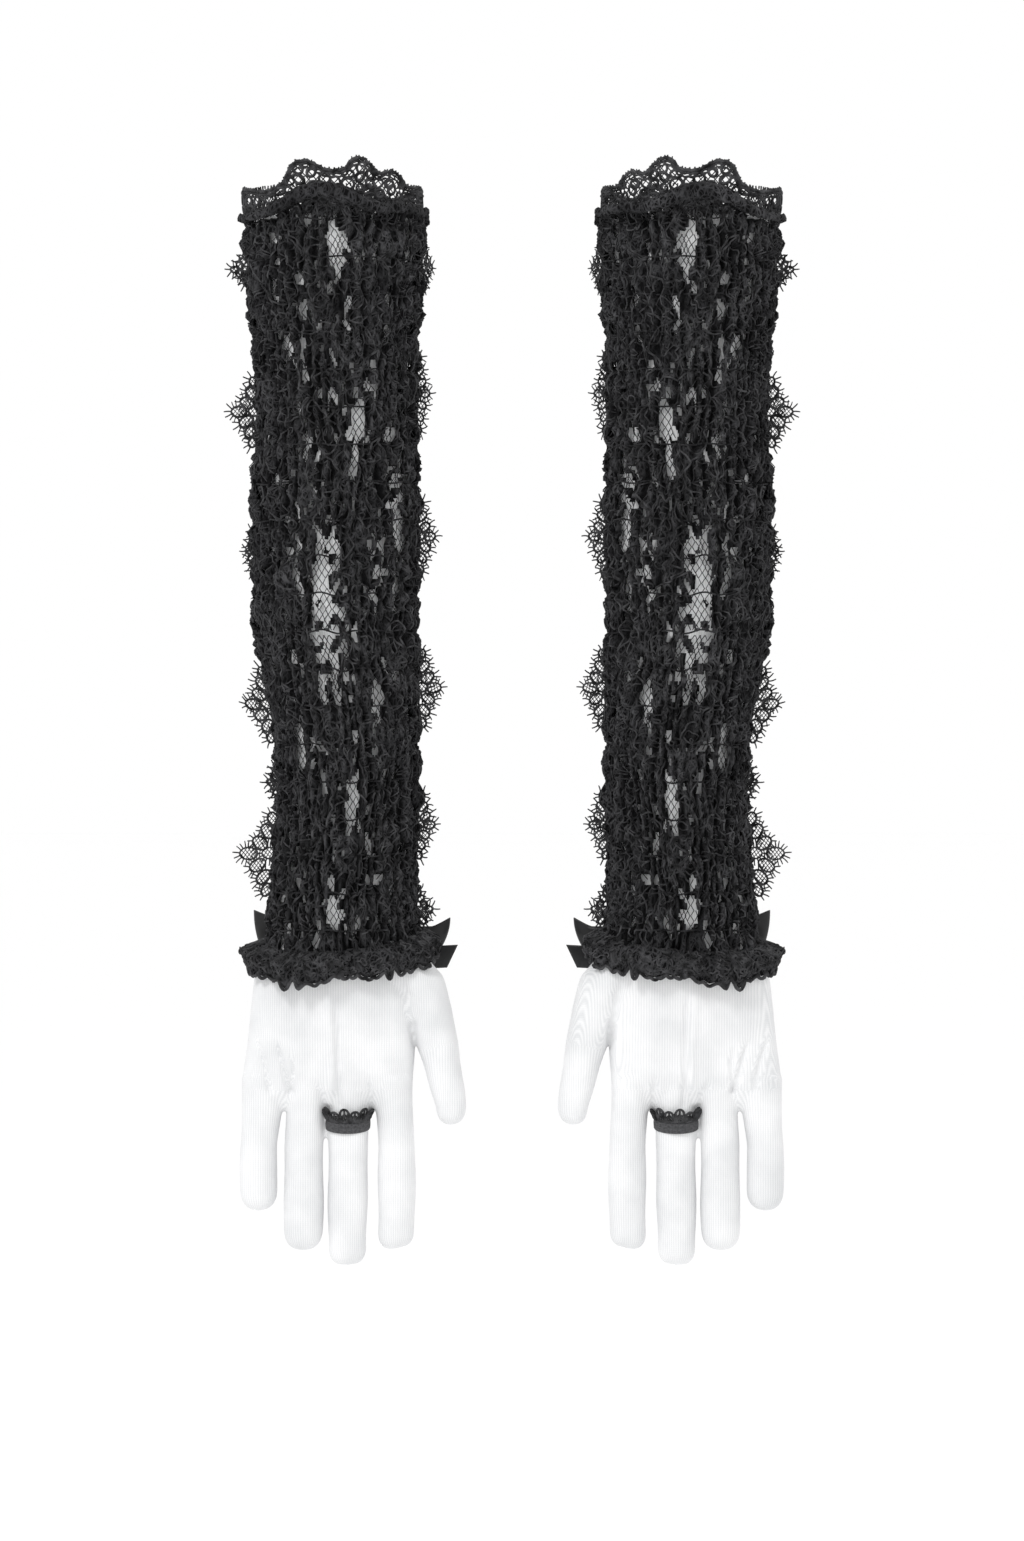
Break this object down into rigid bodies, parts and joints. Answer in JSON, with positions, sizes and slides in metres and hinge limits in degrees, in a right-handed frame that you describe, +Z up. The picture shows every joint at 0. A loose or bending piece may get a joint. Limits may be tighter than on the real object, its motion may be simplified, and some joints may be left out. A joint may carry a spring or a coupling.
{
  "type": "pair of opera gloves",
  "caption": "Long white knit opera gloves under shirred black lace sleeves, with wrist frills, satin bows and lace finger rings; wrists, fingers, thumbs and bows move.",
  "frame": {"origin": "midway between the two arm openings, at the height of the sleeves' top hem", "axes": "+Z up towards the upper arm with the fingers hanging to -Z, +Y out of the back of the hands, +X from the left-hand glove to the right-hand glove"},
  "size_m": [0.28, 0.0728, 0.534],
  "materials": {
    "black_lace": "gathered corded floral lace on diamond net, matt with a slight thread sheen",
    "white_knit": "fine rib knit, matt",
    "black_elastic": "covered elastic, slightly smooth",
    "black_satin": "satin ribbon with soft highlights"
  },
  "bodies": {
    "left_arm": {"left_knit_forearm": "white_knit", "left_lace_sleeve_arm": "black_lace", "left_top_frill": "black_lace", "left_top_lace_edging": "black_lace", "left_back_lace_overlay": "black_lace", "left_shirring_elastics": "black_elastic"},
    "left_hand": {"left_knit_hand": "white_knit", "left_lace_sleeve_wrist": "black_lace", "left_wrist_frill": "black_lace", "left_bow_knot": "black_satin"},
    "left_thumb": {"left_knit_thumb": "white_knit"},
    "left_little": {"left_knit_little": "white_knit"},
    "left_ring_finger": {"left_knit_ring_finger": "white_knit"},
    "left_middle": {"left_knit_middle": "white_knit"},
    "left_index": {"left_knit_index": "white_knit"},
    "left_finger_ring": {"left_ring_elastic_band": "black_elastic", "left_ring_lace_edge": "black_lace"},
    "left_bow_loop_thumb_side": {"left_bow_loop_thumb_side": "black_satin"},
    "left_bow_tail_thumb_side": {"left_bow_tail_thumb_side": "black_satin"},
    "left_bow_loop_little_side": {"left_bow_loop_little_side": "black_satin"},
    "left_bow_tail_little_side": {"left_bow_tail_little_side": "black_satin"},
    "right_arm": {"right_knit_forearm": "white_knit", "right_lace_sleeve_arm": "black_lace", "right_top_frill": "black_lace", "right_top_lace_edging": "black_lace", "right_back_lace_overlay": "black_lace", "right_shirring_elastics": "black_elastic"},
    "right_hand": {"right_knit_hand": "white_knit", "right_lace_sleeve_wrist": "black_lace", "right_wrist_frill": "black_lace", "right_bow_knot": "black_satin"},
    "right_thumb": {"right_knit_thumb": "white_knit"},
    "right_little": {"right_knit_little": "white_knit"},
    "right_ring_finger": {"right_knit_ring_finger": "white_knit"},
    "right_middle": {"right_knit_middle": "white_knit"},
    "right_index": {"right_knit_index": "white_knit"},
    "right_finger_ring": {"right_ring_elastic_band": "black_elastic", "right_ring_lace_edge": "black_lace"},
    "right_bow_loop_thumb_side": {"right_bow_loop_thumb_side": "black_satin"},
    "right_bow_tail_thumb_side": {"right_bow_tail_thumb_side": "black_satin"},
    "right_bow_loop_little_side": {"right_bow_loop_little_side": "black_satin"},
    "right_bow_tail_little_side": {"right_bow_tail_little_side": "black_satin"}
  },
  "joints": [
    {"name": "left_wrist_bend", "type": "hinge", "parent": "left_arm", "child": "left_hand", "pos_m": [-0.0835, 0, -0.343], "axis": [-1, 0, 0], "range_deg": [-40, 40]},
    {"name": "left_little_curl", "type": "hinge", "parent": "left_hand", "child": "left_little", "pos_m": [-0.1226, -0.0115, -0.4375], "axis": [-1, 0, 0], "range_deg": [0, 85]},
    {"name": "left_ring_finger_curl", "type": "hinge", "parent": "left_hand", "child": "left_ring_finger", "pos_m": [-0.1021, -0.0115, -0.4375], "axis": [-1, 0, 0], "range_deg": [0, 85]},
    {"name": "left_middle_curl", "type": "hinge", "parent": "left_hand", "child": "left_middle", "pos_m": [-0.0807, -0.0115, -0.4375], "axis": [-1, 0, 0], "range_deg": [0, 85]},
    {"name": "left_index_curl", "type": "hinge", "parent": "left_hand", "child": "left_index", "pos_m": [-0.0578, -0.0115, -0.4375], "axis": [-1, 0, 0], "range_deg": [0, 85]},
    {"name": "left_thumb_curl", "type": "hinge", "parent": "left_hand", "child": "left_thumb", "pos_m": [-0.0364, -0.0105, -0.40925], "axis": [-0.9736, 0, -0.2283], "range_deg": [0, 60]},
    {"name": "left_finger_ring_slide", "type": "slide", "parent": "left_middle", "child": "left_finger_ring", "axis": [0, 0, -1], "range_m": [0, 0.085]},
    {"name": "left_bow_loop_thumb_side_lift", "type": "hinge", "parent": "left_hand", "child": "left_bow_loop_thumb_side", "pos_m": [-0.0735, 0.0315, -0.357], "axis": [0, 0, 1], "range_deg": [0, 60]},
    {"name": "left_bow_tail_thumb_side_swing", "type": "hinge", "parent": "left_hand", "child": "left_bow_tail_thumb_side", "pos_m": [-0.0735, 0.031, -0.3645], "axis": [1, 0, 0], "range_deg": [0, 80]},
    {"name": "left_bow_loop_little_side_lift", "type": "hinge", "parent": "left_hand", "child": "left_bow_loop_little_side", "pos_m": [-0.0845, 0.0315, -0.357], "axis": [0, 0, -1], "range_deg": [0, 60]},
    {"name": "left_bow_tail_little_side_swing", "type": "hinge", "parent": "left_hand", "child": "left_bow_tail_little_side", "pos_m": [-0.0845, 0.031, -0.3645], "axis": [0.8191, 0, 0.5736], "range_deg": [0, 80]},
    {"name": "pair_apart", "type": "slide", "parent": "left_arm", "child": "right_arm", "axis": [1, 0, 0], "range_m": [0, 0.25]},
    {"name": "right_wrist_bend", "type": "hinge", "parent": "right_arm", "child": "right_hand", "pos_m": [0.0835, 0, -0.343], "axis": [-1, 0, 0], "range_deg": [-40, 40]},
    {"name": "right_little_curl", "type": "hinge", "parent": "right_hand", "child": "right_little", "pos_m": [0.1226, -0.0115, -0.4375], "axis": [-1, 0, 0], "range_deg": [0, 85]},
    {"name": "right_ring_finger_curl", "type": "hinge", "parent": "right_hand", "child": "right_ring_finger", "pos_m": [0.1021, -0.0115, -0.4375], "axis": [-1, 0, 0], "range_deg": [0, 85]},
    {"name": "right_middle_curl", "type": "hinge", "parent": "right_hand", "child": "right_middle", "pos_m": [0.0807, -0.0115, -0.4375], "axis": [-1, 0, 0], "range_deg": [0, 85]},
    {"name": "right_index_curl", "type": "hinge", "parent": "right_hand", "child": "right_index", "pos_m": [0.0578, -0.0115, -0.4375], "axis": [-1, 0, 0], "range_deg": [0, 85]},
    {"name": "right_thumb_curl", "type": "hinge", "parent": "right_hand", "child": "right_thumb", "pos_m": [0.0364, -0.0105, -0.40925], "axis": [-0.9736, 0, 0.2283], "range_deg": [0, 60]},
    {"name": "right_finger_ring_slide", "type": "slide", "parent": "right_middle", "child": "right_finger_ring", "axis": [0, 0, -1], "range_m": [0, 0.085]},
    {"name": "right_bow_loop_thumb_side_lift", "type": "hinge", "parent": "right_hand", "child": "right_bow_loop_thumb_side", "pos_m": [0.0735, 0.0315, -0.357], "axis": [0, 0, -1], "range_deg": [0, 60]},
    {"name": "right_bow_tail_thumb_side_swing", "type": "hinge", "parent": "right_hand", "child": "right_bow_tail_thumb_side", "pos_m": [0.0735, 0.031, -0.3645], "axis": [1, 0, 0], "range_deg": [0, 80]},
    {"name": "right_bow_loop_little_side_lift", "type": "hinge", "parent": "right_hand", "child": "right_bow_loop_little_side", "pos_m": [0.0845, 0.0315, -0.357], "axis": [0, 0, 1], "range_deg": [0, 60]},
    {"name": "right_bow_tail_little_side_swing", "type": "hinge", "parent": "right_hand", "child": "right_bow_tail_little_side", "pos_m": [0.0845, 0.031, -0.3645], "axis": [0.8191, 0, -0.5736], "range_deg": [0, 80]}
  ]
}
